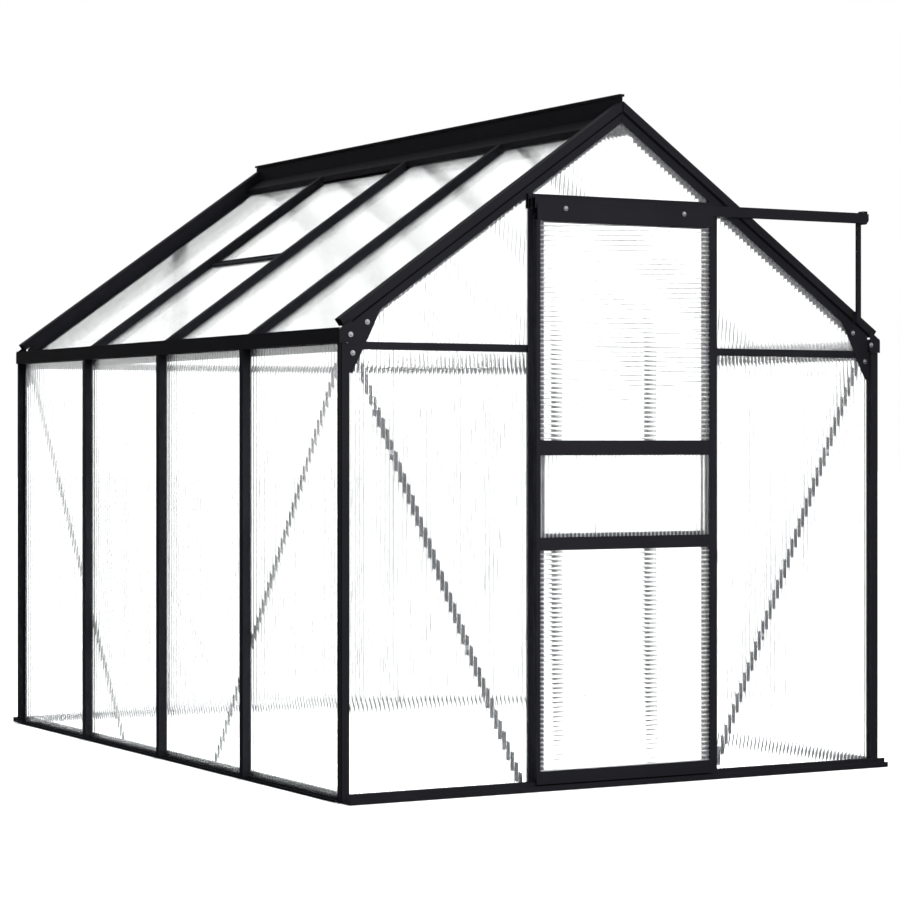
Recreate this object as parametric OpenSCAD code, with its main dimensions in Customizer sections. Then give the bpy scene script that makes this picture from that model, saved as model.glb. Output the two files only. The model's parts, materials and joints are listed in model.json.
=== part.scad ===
// Four-bay greenhouse with a sliding gable door, twin-wall sheets in an extruded frame.
// Millimetres, +Z up, door gable toward -Y, origin at the middle of the footprint.

/* [House] */
// Width across the corner posts
house_w = 1850; // [1600:10:2400]
// Length across the corner posts
house_l = 2510; // [2000:10:3600]
// Underside of the eave gutters above the ground
eave_z = 1268; // [1150:1:1500]
// Slope of both roof sides in degrees
roof_pitch = 35.25; // [28:0.05:42]
// Bays along each long side
bays = 4; // [4:1:6]
// How much longer each end bay is than the middle bays
end_more = 18; // [0:1:40]

/* [Sheets] */
// Thickness of the twin-wall sheets
sheet_t = 4; // [4:0.5:6]
// Clearance between a sheet and each lip of its slot
slot_fit = 0.3; // [0.2:0.05:0.5]
// Clearance left at a sheet's edge for it to grow when warm
edge_fit = 1; // [0.6:0.1:2]
// Clearance where one frame member meets another
seat_fit = 0.3; // [0.1:0.05:0.5]

/* [Frame bars] */
// Wall of the extrusions
metal_t = 1.8; // [1.5:0.1:2.5]
// Width of a bar's outer cap
cap_w = 24; // [20:1:32]
// How far wall caps stand out from the sheets
wall_cap = 16; // [12:1:24]
// How far the wall bars and side bases stand out past the corner posts
bar_past = 8; // [0:1:10]
// How far roof caps stand out from the sheets
roof_cap = 25; // [16:1:28]
// Depth of the wall members from outer to inner face
wall_depth = 30; // [27:1:40]
// Width of the bead along a bar's inner edge
bead_w = 7; // [4:1:12]

/* [Corner posts] */
// Face of a corner post on each side
post_face = 28; // [25:1:36]
// Width of its hollow corner, without the sheet lips
post_box = 24; // [20:0.5:25]
// Depth of the post's box along a side wall
post_side = 17.5; // [16:0.5:22]
// Post's reach past the outer face of a side wall
post_past = 5; // [2:0.5:8]
// Groove down the outer corner
post_groove = 5; // [3:0.5:7]

/* [Base] */
// Height of the gables' base box
base_h = 15; // [12:1:18]
// Height of the two lips that hold the sheets
lip_h = 6; // [5:1:10]
// Height of the side bases' box, behind the sheets
side_h = 24; // [18:1:30]
// Height of the side bases' outer lips
foot_h = 7; // [5:1:10]
// How far the sill reaches out in front of the gables
sill_out = 52; // [50:1:60]
// Height of the sill's front edge
sill_h = 15; // [10:1:17]
// Thickness of the sill's floor
sill_t = 3; // [2:0.5:4]
// How far the sill runs past each corner post
sill_past = 0; // [0:1:12]
// Height of the rib that guides the door
guide_h = 26; // [24:1:30]

/* [Gutters] */
// Height of a gutter's outer wall
gutter_h = 43; // [34:1:46]
// How far a gutter stands out past the posts
gutter_out = 8; // [4:1:14]
// How far its inner leg hangs below the trough
gutter_leg = 22; // [16:1:30]
// Height of the sheet plane above the underside, at the wall face
sheet_rise = 0.5; // [0:0.1:3]
// How far the wall sheets reach up into the gutters
wall_tuck = 6; // [5:0.5:7]
// Height of the plates that close their ends
gutter_end_h = 45; // [36:1:52]
// Thickness of those plates
gutter_end_t = 2; // [1.5:0.1:3]

/* [Rafters and ridge] */
// Height of a rafter's upper box
rafter_box = 23.5; // [20:0.5:30]
// Height of its lower band
rafter_band = 31.5; // [28:0.5:36]
// How far the box's upper edge reaches past the post
rafter_past = 2; // [0:1:16]
// How far the box stands back from the corner posts' faces
rafter_set = 8; // [4:1:10]
// Depth of the box
rafter_d = 32; // [28:1:36]
// Lower edge of the band above the roof sheets' plane
band_low = 3.3; // [2:0.1:5]
// Top of the band's sheet slot above that plane
rafter_slot = 10; // [8:0.5:12]
// Open groove between the band and the box
rafter_gap = 6.5; // [4:0.5:9]
// Reach of the ridge's sloping wings from the middle
ridge_wing = 50; // [42:1:65]
// Height of the wings' drip edge
ridge_drip = 19; // [12:1:20]
// How far the ridge's keel hangs below the peak
keel_drop = 30; // [24:1:40]
// Height of the ridge fin above the peak of the wings
ridge_fin = 57; // [40:1:70]
// Thickness of the fin
fin_t = 3; // [2:0.5:4]
// How far the fin's ends stand back from the gables
fin_back = 13; // [10:1:20]
// Width of the small cap on the fin
fin_cap = 16; // [10:1:24]
// Thickness of that cap
fin_cap_t = 2.5; // [2:0.1:4]
// Height of that cap's turned-down lips
fin_lip = 7; // [5:0.5:9]

/* [Gables] */
// Middle of the eave-level rails above the ground
rail_z = 1262; // [1120:1:1262]
// Height of the rails' faces
rail_h = 22; // [18:1:28]
// Clear width between the door posts
door_gap = 550; // [480:10:640]
// Face of a door post
jamb_w = 52; // [44:1:60]
// Depth of a door post's side slots
jamb_slot = 18; // [16:1:20]
// How far its sheet lips stand back from the edge of its face
jamb_lip = 9; // [7:1:12]
// Height of the door header
header_h = 44; // [38:1:50]
// How far its underside lies below the roof sheets' plane at its ends
header_drop = 30; // [28:1:60]
// How far its slotted back box stops short of its ends
header_step = 27; // [24:1:32]
// Width of the flat braces
brace_w = 22; // [16:1:26]
// Thickness of the flat braces
brace_t = 2; // [1.5:0.1:3]
// Distance of a wall brace's foot from its corner
brace_foot = 900; // [700:10:1000]
// Distance of a brace's top from its corner
brace_in = 44; // [44:1:80]
// Distance of a gable brace's foot from the door post
brace_heel = 7; // [0:1:40]
// Thickness of the gusset plates
gusset_t = 2; // [1.5:0.1:3]
// Reach of a gusset along the rafter, from the wall
gusset_reach = 146; // [120:1:180]
// Distance of its inner knee from the wall
gusset_knee = 85; // [70:1:100]
// Height of that knee above the gutter's underside
gusset_rise = 8; // [0:1:20]
// How far its foot hangs below the gutter
gusset_drop = 82; // [60:1:110]
// Width of its foot
gusset_foot = 14; // [10:1:20]

/* [Roof vent] */
// Bay of the vent, counted from the door gable
vent_bay = 3; // [2:1:3]
// Distance of the vent's cross bar from the wall, across the house
vent_from = 460; // [360:10:500]
// Width of the vent's rails
vent_rail = 12; // [9:1:18]
// Height of its bottom rail's upstand above the sheet plane
vent_h = 9; // [6:1:14]
// Half the width of its cross bar
cross_half = 9; // [7:1:14]
// How far the cross bar stands out from the sheets
cross_cap = 6; // [4:0.5:9]

/* [Door track] */
// Gap from the door gable's face to the track
track_off = 18; // [16:1:24]
// Depth of the track
track_d = 24; // [22:1:30]
// Height of the track
track_h = 30; // [29:1:36]
// Left end of the track from the middle of the house
track_left = 329; // [320:1:360]
// Distance of the track's right end from the house's side
track_inset = 87; // [75:1:110]
// Length of the end cap
end_cap_w = 21; // [16:1:30]
// Width of the strut under the track's end
strut_w = 14; // [10:1:20]
// Depth of the strut
strut_d = 10; // [6:1:12]
// Height of its foot on the rafter
strut_foot = 36; // [24:1:40]

/* [Door] */
// Left edge of the closed door from the middle of the house
door_left = 325; // [310:1:340]
// Width of the door
door_w = 607; // [590:1:640]
// Underside of the door above the ground
door_foot = 19; // [17:1:22]
// Depth of the door's frame
door_d = 20; // [18:1:21]
// Gap from the door gable's face to the door
door_off = 24; // [23:1:26]
// Visible edge of a stile
stile_edge = 12; // [8:1:16]
// Width of the stile's box behind the sheet
stile_box = 22; // [18:1:30]
// Height of the bottom rail
bottom_rail = 37; // [30:1:46]
// Underside and height of the lower middle rail
low_rail_z = 685; // [600:1:760]
// Height of the lower middle rail
low_rail_h = 37; // [30:1:46]
// Underside of the upper middle rail
high_rail_z = 956; // [880:1:1040]
// Height of the upper middle rail
high_rail_h = 43; // [34:1:50]
// Height of the top rail's box
top_box = 18; // [14:1:20]
// Height of the top rail's front apron
apron_h = 47; // [42:1:52]
// Gap between the track and the door's moving pieces
run_gap = 5; // [4.5:0.1:6]
// Height of the lips that hold the top sheet
top_lip = 6; // [4:1:10]
// Radius of the rollers
roller_r = 9; // [7:0.5:10]
// Distance of the hangers from the door's left edge
hanger_first = 94; // [60:1:140]
// Distance between the two hangers
hanger_step = 407; // [340:1:440]

/* [Hidden] */
half_w = house_w / 2;
half_l = house_l / 2;
bay = (house_l - 2 * end_more) / bays;
glaze_z = eave_z + sheet_rise;
rise = tan(roof_pitch);
run = cos(roof_pitch);
peak_z = glaze_z + half_w * rise;
roof_len = half_w / run;
post_leg = wall_cap - slot_fit;
sheet_back = wall_cap + sheet_t;
lip_in = sheet_back + slot_fit;
stem_d = wall_depth - wall_cap;
rafter_top = rafter_band + rafter_box;
jamb_out = door_gap / 2 + jamb_w;
header_z = glaze_z + (half_w - jamb_out) * rise - header_drop;
lip_top = base_h + lip_h;
wing_z = peak_z + roof_cap / run;
track_back = -half_l - track_off;
track_right = half_w - track_inset;
track_z = header_z;
door_back = -half_l - door_off;
guide_y = door_back - door_d / 2;
door_front = door_back - door_d;
door_right = door_w - door_left;
door_top = track_z - 17;
apron_back = track_back - track_d - run_gap;
door_sheet_y = door_front + metal_t + slot_fit;
tread_z = track_z + metal_t;
frame_colour = [0.16, 0.16, 0.18];
sheet_colour = [0.88, 0.93, 0.95, 0.45];
steel_colour = [0.72, 0.73, 0.75];
roller_colour = [0.1, 0.1, 0.1];

// A rectangle from one corner to the other
module area(x0, y0, x1, y1) {
  translate([x0, y0])
    square([x1 - x0, y1 - y0]);
}

// A thin-walled rectangular tube
module tube(x0, y0, x1, y1) {
  difference() {
    area(x0, y0, x1, y1);
    area(x0 + metal_t, y0 + metal_t, x1 - metal_t, y1 - metal_t);
  }
}

// A block from one corner to the other
module block(x0, y0, z0, x1, y1, z1) {
  translate([x0, y0, z0])
    cube([x1 - x0, y1 - y0, z1 - z0]);
}

// A straight strip between two points
module strip(x0, y0, x1, y1, wide) {
  translate([x0, y0])
    rotate(atan2(y1 - y0, x1 - x0))
      translate([0, -wide / 2])
        square([norm([x1 - x0, y1 - y0]), wide]);
}

// Profile across x and z, run along y
module along_y(y0, y1) {
  translate([0, y1, 0])
    rotate([90, 0, 0])
      linear_extrude(y1 - y0)
        children();
}

// Profile across y and z, run along x
module along_x(x0, x1) {
  translate([x0, 0, 0])
    rotate([90, 0, 90])
      linear_extrude(x1 - x0)
        children();
}

// Profile across y and the roof's normal, run up the left slope
module up_slope(t0, t1) {
  translate([-half_w, 0, glaze_z])
    rotate([0, -roof_pitch, 0])
      along_x(t0, t1)
        children();
}

module other_side() {
  mirror([1, 0, 0])
    children();
}

module other_end() {
  mirror([0, 1, 0])
    children();
}

// Height of a line this far above the left sheet plane
function slope_z(x, off) = glaze_z + (x + half_w) * rise + off / run;

// Middle of the bar after this bay
function bar_y(i) = -half_l + end_more + i * bay;

// Everything over a line above the left slope, between two distances from the gable's face
module over_slope(off, d0, d1) {
  up_slope(-half_w, roof_len + half_w)
    area(-half_l + d0, off, -half_l + d1, off + house_w);
}

// Everything that stands in a gable rafter's way
module rafter_room() {
  web = post_face - 4;
  over_slope(band_low - 1, -wall_depth, 2 * wall_depth);
  over_slope(-sheet_t - slot_fit - metal_t - 2, web, 2 * wall_depth);
}

// Bar profile outside the sheet: a hollow cap on a web
module bar_cap(cap_h) {
  tube(-cap_w / 2, slot_fit, cap_w / 2, cap_h);
  area(-metal_t / 2, -sheet_t / 2, metal_t / 2, slot_fit + metal_t / 2);
}

// Bar profile inside the sheet: web, lip and beaded stem
module bar_stem() {
  area(-metal_t / 2, -stem_d, metal_t / 2, 0);
  area(-cap_w / 2, -sheet_t - slot_fit - metal_t, cap_w / 2, -sheet_t - slot_fit);
  area(-bead_w / 2, -stem_d, bead_w / 2, -stem_d + metal_t);
}

// Lips of a gable base's sheet slot, from the outer face inward
module base_lips() {
  area(post_leg - metal_t, base_h - metal_t, post_leg, lip_top);
  area(lip_in, base_h - metal_t, lip_in + metal_t, lip_top);
}

// Side base: outer lips under the bars, a slot for the sheets and a box behind them
module side_base() {
  along_y(-half_l + wall_depth + seat_fit, half_l - wall_depth - seat_fit)
    translate([-half_w, 0]) {
      area(-bar_past, 0, wall_depth, metal_t);
      area(-bar_past, 0, metal_t - bar_past, foot_h);
      area(post_leg - metal_t, 0, post_leg, foot_h);
      tube(lip_in, 0, wall_depth, side_h);
    }
}

module left_base_rail() {
  color(frame_colour)
    side_base();
}

module right_base_rail() {
  color(frame_colour)
    other_side()
      side_base();
}

// Gable base with its sill, which also runs in front of the posts
module gable_base(lip_from) {
  ends = half_w - post_face - seat_fit;
  along_x(-ends, ends)
    translate([-half_l, 0]) {
      tube(0, 0, wall_depth, base_h);
      area(-seat_fit - metal_t, 0, metal_t, sill_t);
    }
  for (side = [0, 1])
    mirror([side, 0, 0])
      along_x(-ends, -lip_from)
        translate([-half_l, 0])
          base_lips();
  along_x(-half_w - sill_past, half_w + sill_past)
    translate([-half_l, 0]) {
      area(-sill_out, 0, -seat_fit, sill_t);
      area(-sill_out, 0, -sill_out + metal_t, sill_h);
    }
}

module front_base_rail() {
  color(frame_colour)
    union() {
      gable_base(jamb_out - jamb_lip + seat_fit);
      block(-half_w, guide_y - metal_t / 2, 0, half_w, guide_y + metal_t / 2, guide_h);
    }
}

module back_base_rail() {
  mid = door_gap / 2 + jamb_lip - seat_fit;
  color(frame_colour)
    other_end()
      union() {
        gable_base(jamb_out - jamb_lip + seat_fit);
        along_x(-mid, mid)
          translate([-half_l, 0])
            base_lips();
      }
}

// Corner post: a hollow corner with a re-entrant edge, and two pairs of sheet lips
module post_profile() {
  difference() {
    union() {
      area(-post_past, 0, post_box, post_leg);
      area(-post_past, 0, post_leg, post_side);
    }
    difference() {
      union() {
        area(metal_t - post_past, metal_t, post_box - metal_t, post_leg - metal_t);
        area(metal_t - post_past, metal_t, post_leg - metal_t, post_side - metal_t);
      }
      translate([-post_past, 0])
        square(post_groove + metal_t);
    }
    translate([-post_past - 1, -1])
      square(post_groove + 1);
  }
  area(post_box - metal_t, post_leg - metal_t, post_face, post_leg);
  area(post_leg - metal_t, post_side - metal_t, post_leg, post_face);
  area(post_leg - metal_t, lip_in, post_face, lip_in + metal_t);
  area(lip_in, post_leg - metal_t, lip_in + metal_t, post_face);
}

module corner_post() {
  color(frame_colour)
    translate([-half_w, -half_l, 0])
      linear_extrude(eave_z - seat_fit)
        post_profile();
}

module front_left_post() {
  corner_post();
}

module front_right_post() {
  other_side()
    corner_post();
}

module back_left_post() {
  other_end()
    corner_post();
}

module back_right_post() {
  other_side()
    other_end()
      corner_post();
}

// Upright bars of one long wall
module wall_bar_row() {
  low = foot_h + seat_fit;
  stem_low = side_h + seat_fit;
  for (i = [1 : bays - 1])
    translate([-half_w + wall_cap, bar_y(i), 0])
      rotate([0, 0, 90])
        union() {
          translate([0, 0, low])
            linear_extrude(eave_z - seat_fit - low)
              bar_cap(wall_cap + bar_past);
          translate([0, 0, stem_low])
            linear_extrude(eave_z - gutter_leg - seat_fit - stem_low)
              bar_stem();
        }
}

module left_wall_bars() {
  color(frame_colour)
    wall_bar_row();
}

module right_wall_bars() {
  color(frame_colour)
    other_side()
      wall_bar_row();
}

// Gutter: trough, slot for the wall sheets and a leg that carries the roof sheets
module gutter() {
  leg_in = wall_depth - metal_t;
  floor_z = eave_z + wall_tuck;
  leg_top = glaze_z + leg_in * rise - (sheet_t + slot_fit) / run;
  lip_end = half_l - post_face - seat_fit;
  leg_end = half_l - wall_depth - seat_fit;
  translate([-half_w, 0, 0])
    union() {
      along_y(-half_l, half_l) {
        area(-gutter_out, eave_z, metal_t - gutter_out, eave_z + gutter_h);
        area(-gutter_out, eave_z + gutter_h - 2.5, 4 - gutter_out, eave_z + gutter_h);
        area(-gutter_out, eave_z, post_leg, eave_z + metal_t);
        area(post_leg - metal_t, eave_z, post_leg, floor_z + metal_t);
        area(post_leg - metal_t, floor_z, wall_depth, floor_z + metal_t);
        area(leg_in, floor_z, wall_depth, leg_top);
      }
      along_y(-lip_end, lip_end)
        area(lip_in, eave_z - 5, lip_in + metal_t, floor_z + metal_t / 2);
      along_y(-leg_end, leg_end)
        area(leg_in, eave_z - gutter_leg, wall_depth, floor_z + metal_t / 2);
    }
}

module left_gutter() {
  color(frame_colour)
    gutter();
}

module right_gutter() {
  color(frame_colour)
    other_side()
      gutter();
}

// Plates that close the gutters' ends, cut to the slope of the rafter over them
module gutter_end_caps() {
  color(frame_colour)
    for (side = [0, 1], end = [0, 1])
      mirror([side, 0, 0])
        mirror([0, end, 0])
          translate([-half_w, -half_l - seat_fit, eave_z])
            rotate([90, 0, 0])
              linear_extrude(gutter_end_t)
                polygon([[-gutter_out, 0], [wall_depth, 0],
                  [wall_depth, gutter_end_h + wall_depth * rise],
                  [0, gutter_end_h], [-gutter_out, gutter_end_h - gutter_out]]);
}

// One half of the ridge: wing with a drip edge, and the lip under the sheets
module ridge_half() {
  wing_t = metal_t / run;
  edge_z = wing_z - ridge_wing * rise;
  edge = ridge_wing - metal_t;
  lip_z = peak_z - (sheet_t + slot_fit) / run;
  reach = wall_depth;
  polygon([[0, wing_z], [-ridge_wing, edge_z], [-ridge_wing, edge_z - ridge_drip],
    [-edge, edge_z - ridge_drip], [-edge, wing_z - wing_t - edge * rise], [0, wing_z - wing_t]]);
  polygon([[0, lip_z], [-reach, lip_z - reach * rise],
    [-reach, lip_z - wing_t - reach * rise], [0, lip_z - wing_t]]);
}

// Ridge: wings between the gable rafters, and a capped fin that runs on between their tops
module ridge_beam() {
  fin_top = wing_z + ridge_fin;
  fin_foot = peak_z + (rafter_slot + metal_t) / run + seat_fit;
  keel = peak_z - keel_drop;
  wings = half_l - rafter_set - rafter_d - seat_fit;
  fins = half_l - fin_back;
  color(frame_colour)
    union() {
      along_y(-wings, wings)
        union() {
          ridge_half();
          mirror([1, 0])
            ridge_half();
          area(-fin_t / 2, keel, fin_t / 2, wing_z);
          area(-bead_w, keel, bead_w, keel + metal_t);
        }
      along_y(-fins, fins)
        union() {
          area(-fin_t / 2, fin_foot, fin_t / 2, fin_top);
          area(-fin_cap / 2, fin_top - fin_cap_t, fin_cap / 2, fin_top);
          area(-fin_cap / 2, fin_top - fin_lip, metal_t - fin_cap / 2, fin_top);
          area(fin_cap / 2 - metal_t, fin_top - fin_lip, fin_cap / 2, fin_top);
        }
    }
}

// Gable rafter: hollow upper box, recessed lower band, slots for gable and roof sheets
module rafter_upper() {
  tube(rafter_set, rafter_band, rafter_set + rafter_d, rafter_top);
}

module rafter_lower() {
  web = post_face - 2;
  area(post_leg - metal_t, band_low, post_leg, rafter_band - rafter_gap);
  area(post_leg - metal_t, rafter_slot, post_face, rafter_slot + metal_t);
  area(lip_in, band_low, lip_in + metal_t, rafter_slot + metal_t);
  area(web, -sheet_t - slot_fit - metal_t, post_face, rafter_band + metal_t / 2);
}

module rafter_flanges() {
  web = post_face - 1;
  area(web, slot_fit, web + 13, slot_fit + metal_t);
  area(web, -sheet_t - slot_fit - metal_t, web + 13, -sheet_t - slot_fit);
}

module rafter() {
  color(frame_colour)
    difference() {
      translate([0, -half_l, 0]) {
        up_slope((rafter_top * sin(roof_pitch) - rafter_past) / run, roof_len + 60)
          rafter_upper();
        difference() {
          union() {
            up_slope(0, roof_len + 60)
              rafter_lower();
            up_slope(0, (half_w - ridge_wing - 6) / run)
              rafter_flanges();
          }
          block(-half_w - 60, -60, 0, -half_w + wall_depth + seat_fit, 90, eave_z + 200);
        }
      }
      block(-fin_t / 2 - seat_fit, -half_l - 60, 0, 200, -half_l + 200, wing_z + 300);
    }
}

module front_left_rafter() {
  rafter();
}

module front_right_rafter() {
  other_side()
    rafter();
}

module back_left_rafter() {
  other_end()
    rafter();
}

module back_right_rafter() {
  other_side()
    other_end()
      rafter();
}

// Bars up one roof slope, cut square at the gutter and the ridge
module roof_bar_row() {
  start = (roof_cap * sin(roof_pitch) - gutter_out + metal_t + 2) / run;
  for (i = [1 : bays - 1])
    translate([0, bar_y(i), 0])
      union() {
        difference() {
          up_slope(start, roof_len)
            bar_cap(roof_cap);
          block(-ridge_wing - seat_fit, -60, 0, 60, 60, wing_z + 200);
        }
        difference() {
          up_slope(0, roof_len)
            bar_stem();
          block(-half_w - 60, -60, 0, -half_w + wall_depth + seat_fit, 60, wing_z);
          block(-wall_depth - seat_fit, -60, 0, 60, 60, wing_z + 200);
        }
      }
}

module left_roof_bars() {
  color(frame_colour)
    roof_bar_row();
}

module right_roof_bars() {
  color(frame_colour)
    other_side()
      roof_bar_row();
}

// Gusset at an eave corner, lying in the recess between post, gutter and rafter box
module gusset() {
  x0 = post_box + seat_fit;
  x1 = wall_depth + seat_fit;
  z0 = eave_z - seat_fit;
  tip = eave_z - gusset_drop;
  off = rafter_band - rafter_gap;
  front = post_leg - metal_t - seat_fit;
  translate([-half_w, -half_l + front, 0])
    rotate([90, 0, 0])
      linear_extrude(gusset_t)
        polygon([[x0, tip], [x0, z0], [x1, z0], [x1, slope_z(x1 - half_w, off)],
          [gusset_reach, slope_z(gusset_reach - half_w, off)],
          [gusset_knee, eave_z + gusset_rise], [x0 + gusset_foot, tip]]);
}

module gusset_plates() {
  color(frame_colour)
    for (side = [0, 1], end = [0, 1])
      mirror([side, 0, 0])
        mirror([0, end, 0])
          gusset();
}

// Eave-level rail between two uprights of a gable
module rail_profile() {
  translate([-half_l, rail_z]) {
    area(post_leg - metal_t, -rail_h / 2, post_leg, rail_h / 2);
    area(lip_in, -rail_h / 2, lip_in + metal_t, rail_h / 2);
    area(post_leg - metal_t, -metal_t / 2, wall_depth, metal_t / 2);
    area(wall_depth - metal_t, -bead_w / 2, wall_depth, bead_w / 2);
  }
}

module side_bay_rail() {
  along_x(-half_w + wall_depth + seat_fit, -jamb_out + jamb_lip - seat_fit)
    rail_profile();
}

module front_gable_rails() {
  color(frame_colour) {
    side_bay_rail();
    other_side()
      side_bay_rail();
  }
}

module back_gable_rails() {
  mid = door_gap / 2 + jamb_lip - seat_fit;
  color(frame_colour)
    other_end() {
      side_bay_rail();
      other_side()
        side_bay_rail();
      along_x(-mid, mid)
        rail_profile();
    }
}

// Gable upright: wide thin face on a narrower box, a sheet slot on each side
module jamb_profile() {
  area(0, 0, jamb_w, metal_t);
  tube(jamb_slot, 0, jamb_w - jamb_slot, wall_depth);
  for (hand = [0, 1])
    translate([hand * jamb_w, 0])
      mirror([hand, 0]) {
        area(jamb_lip, post_leg - metal_t, jamb_slot + metal_t / 2, post_leg);
        area(jamb_lip, lip_in, jamb_slot + metal_t / 2, lip_in + metal_t);
      }
}

module gable_upright(top) {
  translate([-jamb_out, -half_l, base_h + seat_fit])
    linear_extrude(top - base_h - seat_fit)
      jamb_profile();
}

module door_posts() {
  color(frame_colour) {
    gable_upright(header_z - seat_fit);
    other_side()
      gable_upright(header_z - seat_fit);
  }
}

module back_upright() {
  difference() {
    gable_upright(peak_z);
    rafter_room();
  }
}

module back_gable_posts() {
  color(frame_colour)
    other_end() {
      back_upright();
      other_side()
        back_upright();
    }
}

// Door header: front box over the posts, slotted back box under the top sheet
module door_header() {
  top = header_z + header_h;
  front = post_leg - metal_t - seat_fit;
  back_half = jamb_out - header_step;
  color(frame_colour)
    union() {
      along_x(-jamb_out, jamb_out)
        translate([-half_l, 0])
          tube(0, header_z, front, top);
      difference() {
        along_x(-back_half, back_half)
          translate([-half_l, 0]) {
            tube(front - metal_t, header_z, post_face, top - 11);
            area(front - metal_t, top - 11 - metal_t, post_leg, top - 1);
            area(lip_in, top - 11 - metal_t, lip_in + metal_t, top - 1);
          }
        rafter_room();
        other_side()
          rafter_room();
      }
    }
}

// Door track: a channel open below, with a rear arm along the header
module door_track() {
  back = -track_off;
  front = -track_off - track_d;
  lip = (track_d - 11) / 2;
  top = track_z + track_h;
  color(frame_colour)
    union() {
      along_x(-track_left, track_right)
        translate([-half_l, 0]) {
          area(front, track_z, front + metal_t, top);
          area(back - metal_t, track_z, back, top);
          area(front, top - metal_t, back, top);
          area(front, track_z, front + lip, track_z + metal_t);
          area(back - lip, track_z, back, track_z + metal_t);
        }
      along_x(-jamb_out, jamb_out)
        translate([-half_l, 0]) {
          area(back - metal_t, top - metal_t, -seat_fit, top);
          area(-seat_fit - metal_t, top - 14, -seat_fit, top + 6);
        }
    }
}

module track_end_cap() {
  x0 = track_right + seat_fit;
  x1 = track_right + end_cap_w;
  z0 = track_z - 4;
  z1 = track_z + track_h + 6;
  color(frame_colour)
    translate([0, track_back + 2, 0])
      rotate([90, 0, 0])
        linear_extrude(track_d + 2)
          polygon([[x0, z0], [x1 - 9, z0], [x1, z0 + 12], [x1, z1 - 8], [x1 - 5, z1 - 8],
            [x1 - 5, z1], [x0, z1]]);
}

// Strut from the rafter's face up to the back of the track
module track_strut() {
  x0 = track_right - 2;
  y0 = track_back + 2 + seat_fit;
  foot = slope_z(-x0 - strut_w / 2, rafter_band) - 8;
  color(frame_colour)
    along_x(x0, x0 + strut_w) {
      area(y0, foot, y0 + strut_d, track_z + track_h);
      area(y0, foot, rafter_set - half_l - seat_fit, foot + strut_foot);
    }
}

// Flat braces on the inner faces of the long walls
module wall_brace() {
  translate([-half_w + wall_depth + seat_fit, 0, 0])
    rotate([90, 0, 90])
      linear_extrude(brace_t)
        strip(-half_l + brace_in, eave_z - 5, -half_l + brace_foot, base_h, brace_w);
}

module wall_braces() {
  color(frame_colour)
    for (side = [0, 1], end = [0, 1])
      mirror([side, 0, 0])
        mirror([0, end, 0])
          wall_brace();
}

// Flat braces behind the outer bays of the gables
module gable_brace() {
  translate([0, -half_l + wall_depth + seat_fit + brace_t, 0])
    rotate([90, 0, 0])
      linear_extrude(brace_t)
        strip(-half_w + brace_in, rail_z, -jamb_out - brace_heel, base_h, brace_w);
}

module gable_braces() {
  color(frame_colour)
    for (side = [0, 1], end = [0, 1])
      mirror([side, 0, 0])
        mirror([0, end, 0])
          gable_brace();
}

// Sheets of one long wall
module wall_sheet_row() {
  first = lip_in + metal_t + edge_fit;
  gap = metal_t / 2 + edge_fit;
  for (i = [0 : bays - 1])
    block(-half_w + wall_cap, i == 0 ? -half_l + first : bar_y(i) + gap, metal_t + edge_fit,
      -half_w + sheet_back, i == bays - 1 ? half_l - first : bar_y(i + 1) - gap,
      eave_z + wall_tuck - edge_fit);
}

module left_wall_sheets() {
  color(sheet_colour)
    wall_sheet_row();
}

module right_wall_sheets() {
  color(sheet_colour)
    other_side()
      wall_sheet_row();
}

// One roof sheet between two distances up the slope
module roof_sheet(i, t0, t1) {
  first = post_face + edge_fit;
  gap = metal_t / 2 + edge_fit;
  y0 = i == 0 ? -half_l + first : bar_y(i) + gap;
  y1 = i == bays - 1 ? half_l - first : bar_y(i + 1) - gap;
  up_slope(t0, t1)
    area(y0, -sheet_t, y1, 0);
}

eave_t = (wall_tuck + metal_t + edge_fit - sheet_rise + sheet_t * run) / sin(roof_pitch);
ridge_t = roof_len - 8;
cross_t = vent_from / run;

module left_roof_sheets() {
  color(sheet_colour)
    for (i = [0 : bays - 1])
      roof_sheet(i, eave_t, i == vent_bay - 1 ? cross_t - metal_t / 2 - edge_fit : ridge_t);
}

module right_roof_sheets() {
  color(sheet_colour)
    other_side()
      for (i = [0 : bays - 1])
        roof_sheet(i, eave_t, ridge_t);
}

// Sheets of a gable's outer bay, under and over the eave rail
module outer_bay_sheets() {
  x0 = -half_w + lip_in + metal_t + edge_fit;
  x1 = -jamb_out + jamb_slot - edge_fit;
  x2 = -half_w + wall_depth + edge_fit;
  web = metal_t / 2 + edge_fit;
  tuck = rafter_slot - edge_fit;
  translate([0, -half_l + sheet_back, 0])
    rotate([90, 0, 0])
      linear_extrude(sheet_t) {
        area(x0, base_h + edge_fit, x1, rail_z - web);
        polygon([[x2, rail_z + web], [x1, rail_z + web], [x1, slope_z(x1, tuck)],
          [x2, slope_z(x2, tuck)]]);
      }
}

// Sheet that fills a gable's middle up to the rafters
module peak_sheet(half, z0) {
  tuck = rafter_slot - edge_fit;
  translate([0, -half_l + sheet_back, 0])
    rotate([90, 0, 0])
      linear_extrude(sheet_t)
        polygon([[-half, z0], [half, z0], [half, slope_z(-half, tuck)], [0, slope_z(0, tuck)],
          [-half, slope_z(-half, tuck)]]);
}

module front_gable_sheets() {
  color(sheet_colour) {
    outer_bay_sheets();
    other_side()
      outer_bay_sheets();
    peak_sheet(jamb_out - header_step - edge_fit, header_z + header_h - 11 + edge_fit);
  }
}

module back_gable_sheets() {
  half = door_gap / 2 + jamb_slot - edge_fit;
  web = metal_t / 2 + edge_fit;
  color(sheet_colour)
    other_end() {
      outer_bay_sheets();
      other_side()
        outer_bay_sheets();
      block(-half, -half_l + wall_cap, base_h + edge_fit, half, -half_l + sheet_back, rail_z - web);
      peak_sheet(half, rail_z + web);
    }
}

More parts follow.
